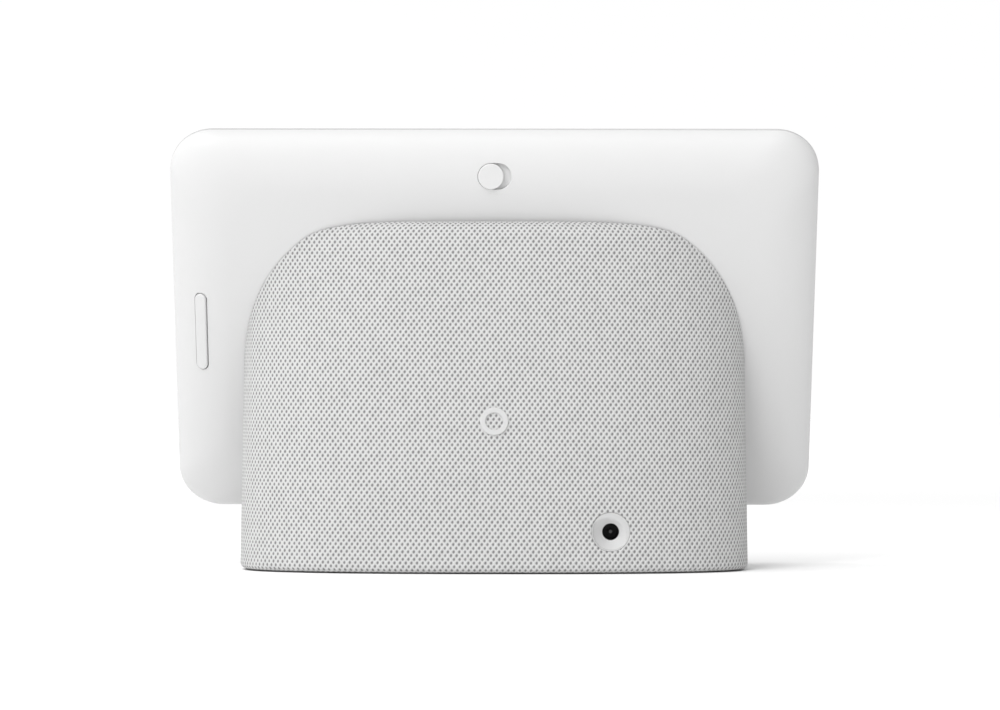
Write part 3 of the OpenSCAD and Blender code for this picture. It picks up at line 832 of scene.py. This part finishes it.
def knit():
    m = Nodes("knit_cloth")
    uv = m.node("ShaderNodeUVMap", uv_map="knit")
    sep = m.node("ShaderNodeSeparateXYZ")
    m.nt.links.new(uv.outputs[0], sep.inputs[0])
    # slow wander, so the rows aren't ruled lines
    w = m.noise(55, 2)
    U = m.math("ADD", sep.outputs[0], m.math("MULTIPLY", m.math("SUBTRACT", w, 0.5), 0.22))
    w2 = m.noise(48, 2)
    Vv = m.math("ADD", m.math("MULTIPLY", sep.outputs[1], -1.0), m.math("MULTIPLY", m.math("SUBTRACT", w2, 0.5), 0.16))
    # lattice vectors, mm, right and down the cloth seen from behind
    Ax, Ay, Bx, By = 0.802, 1.002, -0.717, 1.002
    det = Ax * By - Bx * Ay
    p = m.math("ADD", m.math("MULTIPLY", U, By / det), m.math("MULTIPLY", Vv, -Bx / det))
    q = m.math("ADD", m.math("MULTIPLY", U, -Ay / det), m.math("MULTIPLY", Vv, Ax / det))
    cp = m.math("COSINE", m.math("MULTIPLY", p, 2 * math.pi))
    cq = m.math("COSINE", m.math("MULTIPLY", q, 2 * math.pi))
    r1 = m.math("MULTIPLY", m.math("SUBTRACT", 1.0, cp), 0.5)      # ridge between dots, leaning one way
    r2 = m.math("MULTIPLY", m.math("SUBTRACT", 1.0, cq), 0.5)
    s1 = m.ramp(r1, 0.0, 1.3, 0.0, 1.0)
    s2 = m.ramp(r2, 0.0, 1.184, 0.0, 0.663)
    h = m.math("SUBTRACT", 1.0, m.math("MULTIPLY", m.math("SUBTRACT", 1.0, s1), m.math("SUBTRACT", 1.0, s2)))
    # crossing yarns are thickest at their crossing
    cross = m.math("MULTIPLY", s1, s2)
    height = m.math("ADD", m.math("MULTIPLY", h, 0.75), m.math("MULTIPLY", cross, 0.25))
    # fibres along the yarn
    fib = m.noise(5200, 3, 0.7)
    fib2 = m.noise(1500, 2, 0.6)
    height2 = m.math("ADD", height, m.math("MULTIPLY", m.math("SUBTRACT", fib, 0.5), 0.16))
    # melange: each stitch a little lighter or darker
    cell = m.node("ShaderNodeCombineXYZ")
    m.nt.links.new(m.math("FLOOR", m.math("ADD", p, 0.5)), cell.inputs[0])
    m.nt.links.new(m.math("FLOOR", m.math("ADD", q, 0.5)), cell.inputs[1])
    wn = m.node("ShaderNodeTexWhiteNoise", noise_dimensions="2D")
    m.nt.links.new(cell.outputs[0], wn.inputs["Vector"])
    melange = m.math("MULTIPLY", m.math("SUBTRACT", wn.outputs["Value"], 0.5), KNIT["melange"])
    # the base colour is darker where the knit lies low: painted shade in the hollows between the yarns, on top of the
    # shading the bump gives
    shade = m.math("ADD", m.math("ADD", m.ramp(height, KNIT["lo"], KNIT["hi"], 0.0, 1.0), melange), m.math("MULTIPLY", m.math("SUBTRACT", fib2, 0.5), 0.14), clamp=True)
    m.base(m.mix(shade, KNIT["dark"], KNIT["light"]))
    m.rough(0.92)
    m.normal(m.bump(height2, KNIT["bump"]))
    m.bsdf.inputs["Specular IOR Level"].default_value = 0.12
    m.bsdf.inputs["Sheen Weight"].default_value = 0.12
    m.bsdf.inputs["Sheen Roughness"].default_value = 0.5
    return m.mat


# dark is the painted shade of the knit's hollows, light is the yarn itself
KNIT = dict(dark=(0.204, 0.204, 0.204), light=(0.578, 0.578, 0.576), lo=0.026, hi=0.527, melange=0.16, bump=0.00022)


def glass():
    # clear sheet: 6 percent of it mirrors, the rest lets through
    m = Nodes("glass")
    m.base(m.mix(m.noise(30, 2), (0.95, 0.965, 0.96), (0.97, 0.985, 0.98)))
    m.bsdf.inputs["Metallic"].default_value = 1.0
    m.bsdf.inputs["Alpha"].default_value = 0.06
    m.rough(m.ramp(m.noise(60, 3), 0.3, 0.7, 0.015, 0.04))
    m.normal(m.bump(m.noise(900, 2), 0.000001))
    return m.mat


def board(name):
    m = Nodes(name)
    n = m.noise(900, 3)
    v = m.node("ShaderNodeTexVoronoi")
    v.inputs["Scale"].default_value = 420
    m.nt.links.new(m.object_coords(), v.inputs["Vector"])
    track = m.ramp(v.outputs["Distance"], 0.28, 0.34, 1.0, 0.0)
    m.base(m.mix(track, (0.012, 0.085, 0.035), (0.03, 0.16, 0.07)))
    m.rough(m.ramp(n, 0.3, 0.7, 0.25, 0.42))
    m.normal(m.bump(track, 0.00002))
    return m.mat


def rubbery(name, tone, rough=0.75, tint=(1, 1, 1)):
    return plastic(name, tone, 0.02, rough, 0.08, 0.00003, 700, 0.3, tint)


def woven(name, tone, scale=2200):
    m = Nodes(name)
    t = m.node("ShaderNodeTexWave", wave_type="BANDS", bands_direction="X")
    t.inputs["Scale"].default_value = scale / 8
    m.nt.links.new(m.object_coords(), t.inputs["Vector"])
    t2 = m.node("ShaderNodeTexWave", wave_type="BANDS", bands_direction="Z")
    t2.inputs["Scale"].default_value = scale / 8
    m.nt.links.new(m.object_coords(), t2.inputs["Vector"])
    h = m.math("MULTIPLY", t.outputs["Fac"], t2.outputs["Fac"])
    m.base(m.mix(h, (tone * 0.5,) * 3, (tone * 1.3,) * 3))
    m.rough(0.9)
    m.normal(m.bump(h, 0.00004))
    return m.mat


MATS = {
    "glass": glass(),
    # the inlet dish's plastic is a darker copy of the white plastic: painted shade for the hollow of the recessed dish
    "shaded_dish_plastic": plastic("shaded_dish_plastic", 0.54, 0.01, 0.5),
    # near-black metal for the socket's pin: painted shade for the pin deep in the bore, in place of its tin plate
    "shaded_pin_metal": metal("shaded_pin_metal", 0.08, 0.5, (1, 1, 1)),
    "ground_edge": plastic("ground_edge", 0.50, 0.01, 0.55),
    "white_ink": plastic("white_ink", 0.80, 0.006, 0.5),
    "screen_film": plastic("screen_film", 0.006, 0.002, 0.22, 0.03),
    "adhesive": rubbery("adhesive", 0.12),
    "sheet_metal": metal("sheet_metal", 0.72),
    "grey_plastic": plastic("grey_plastic", 0.52),
    "thermal_gum": rubbery("thermal_gum", 0.4, tint=(0.9, 0.92, 1.1)),
    "green_board": board("green_board"),
    "tin_plate": metal("tin_plate", 0.66, 0.28),
    "white_plastic": plastic("white_plastic", 0.65, 0.006, 0.46, 0.04),
    "black_plastic": plastic("black_plastic", 0.012, 0.003, 0.45),
    "screw_steel": metal("screw_steel", 0.6, 0.3, (1, 1, 1)),
    "flex_film": plastic("flex_film", 0.35, 0.03, 0.35, tint=(1.3, 0.75, 0.2)),
    "knit_cloth": knit(),
    "mesh_cloth": woven("mesh_cloth", 0.03),
    "magnet_iron": metal("magnet_iron", 0.3, 0.4, (1, 1, 1)),
    "basket_plastic": plastic("basket_plastic", 0.02, 0.004, 0.5),
    "coil_copper": metal("coil_copper", 0.6, 0.3, (1, 60, 1), (1.2, 0.62, 0.36)),
    "cone_paper": woven("cone_paper", 0.03, 1400),
    "surround_rubber": rubbery("surround_rubber", 0.012),
    "ballast_steel": metal("ballast_steel", 0.25, 0.45),
    "base_plastic": plastic("base_plastic", 0.55, 0.012, 0.5),
    "foot_rubber": rubbery("foot_rubber", 0.50),
    "wire_jacket": plastic("wire_jacket", 0.2, 0.02, 0.4, tint=(1.6, 0.1, 0.08)),
    "badge_plastic": plastic("badge_plastic", 0.56, 0.006, 0.35),
}


def dress(ob, slot):
    ob.data.materials.clear()
    ob.data.materials.append(MATS[slot])


# ------------------------------------------------------------------ build
slot_of = {e["node"]: e["material_slot"] for e in frame["record"]["subparts"]}
for name, ob in frame["nodes"].items():
    mat = MATS[slot_of[name]]
    if not ob.material_slots:
        ob.data.materials.append(mat)
    # the socket's pin gets the near-black metal: painted shade for its place deep in the bore
    if name == "dc_jack_pin":
        mat = MATS["shaded_pin_metal"]
    for s in ob.material_slots:
        s.material = mat

for ob, slot in ((rear_housing(), "white_plastic"), (front_glass(), "glass"), (fabric_sleeve(), "knit_cloth"),
                 (mute_knob(), "white_plastic"), (volume_rocker(), "white_plastic"), (inlet_dish(), "shaded_dish_plastic"), (badge(), "badge_plastic")):
    dress(ob, slot)
    if slot == "glass":
        index = [0] * len(ob.data.polygons)
        for i, f in enumerate(ob.data.polygons):
            index[i] = 1 if i < GLASS_SIDE else 0
        ob.data.materials.append(MATS["ground_edge"])
        ob.data.polygons.foreach_set("material_index", index)

# ------------------------------------------------------------------ floor and light
me = bpy.data.meshes.new("floor")
S = 6.0
me.from_pydata([(-S, -S, 0), (S, -S, 0), (S, S, 0), (-S, S, 0)], [], [(0, 1, 2, 3)])
floor = bpy.data.objects.new("floor", me)
scene.collection.objects.link(floor)
fm = Nodes("floor_white")
fm.base(fm.mix(fm.noise(3, 2), (0.93, 0.93, 0.93), (0.95, 0.95, 0.95)))
fm.rough(0.9)
fm.bsdf.inputs["Specular IOR Level"].default_value = 0.1
fm.bsdf.inputs["Emission Color"].default_value = (1, 1, 1, 1)
# the sweep far behind the object is lit on its own, so that no horizon shows
far = fm.node("ShaderNodeVectorMath", operation="LENGTH")
fm.nt.links.new(fm.object_coords(), far.inputs[0])
fm.set(fm.bsdf.inputs["Emission Strength"], fm.ramp(far.outputs["Value"], 0.6, 1.7, 0.0, 0.24))
me.materials.append(fm.mat)

world = bpy.data.worlds.new("studio")
scene.world = world
world.use_nodes = True
wt = world.node_tree
bg = wt.nodes["Background"]
bg.inputs["Color"].default_value = (1, 1, 1, 1)
# a soft surround: brightness by direction, level + px * max(0, x) and so on
SKY = dict(level=1.01, px=0.102, nx=-0.66, py=-0.166, pz=-0.093)
LIGHT = dict(key=0.413, high=0.286, side=0.124)


def wnode(op, a, b):
    n = wt.nodes.new("ShaderNodeMath")
    n.operation = op
    for i, v in enumerate((a, b)):
        if isinstance(v, (int, float)):
            n.inputs[i].default_value = v
        else:
            wt.links.new(v, n.inputs[i])
    return n.outputs[0]


wc = wt.nodes.new("ShaderNodeTexCoord")
ws = wt.nodes.new("ShaderNodeSeparateXYZ")
wt.links.new(wc.outputs["Generated"], ws.inputs[0])
total = SKY["level"]
for key, out, sign in (("px", 0, 1), ("nx", 0, -1), ("py", 1, 1), ("pz", 2, 1)):
    if SKY[key]:
        part = wnode("MULTIPLY", wnode("MAXIMUM", wnode("SUBTRACT", wnode("MULTIPLY", ws.outputs[out], sign), 0.14 if key == "nx" else 0.0), 0.0), SKY[key])
        total = wnode("ADD", part, total)
if isinstance(total, (int, float)):
    bg.inputs["Strength"].default_value = total
else:
    wt.links.new(total, bg.inputs["Strength"])


def area(name, azimuth, elevation, dist, size, power):
    """area light at azimuth (0 is behind the screen at +Y, 90 at +X) and elevation, aimed at the object"""
    if power <= 0:
        return
    d = bpy.data.lights.new(name, "AREA")
    d.shape = "SQUARE"
    d.size = size
    d.energy = power
    o = bpy.data.objects.new(name, d)
    a, e = rad(azimuth), rad(elevation)
    v = Vector((math.sin(a) * math.cos(e), math.cos(a) * math.cos(e), math.sin(e)))
    o.location = PIVOT + v * dist
    o.rotation_euler = (-v).to_track_quat("-Z", "Y").to_euler()
    scene.collection.objects.link(o)


for name, az, el, dist, size in (("key", 25, 35, 2.0, 0.9), ("high", 25, 60, 2.0, 0.8), ("side", 70, 55, 2.0, 0.8)):
    area(name, az, el, dist, size, 30 * LIGHT[name])
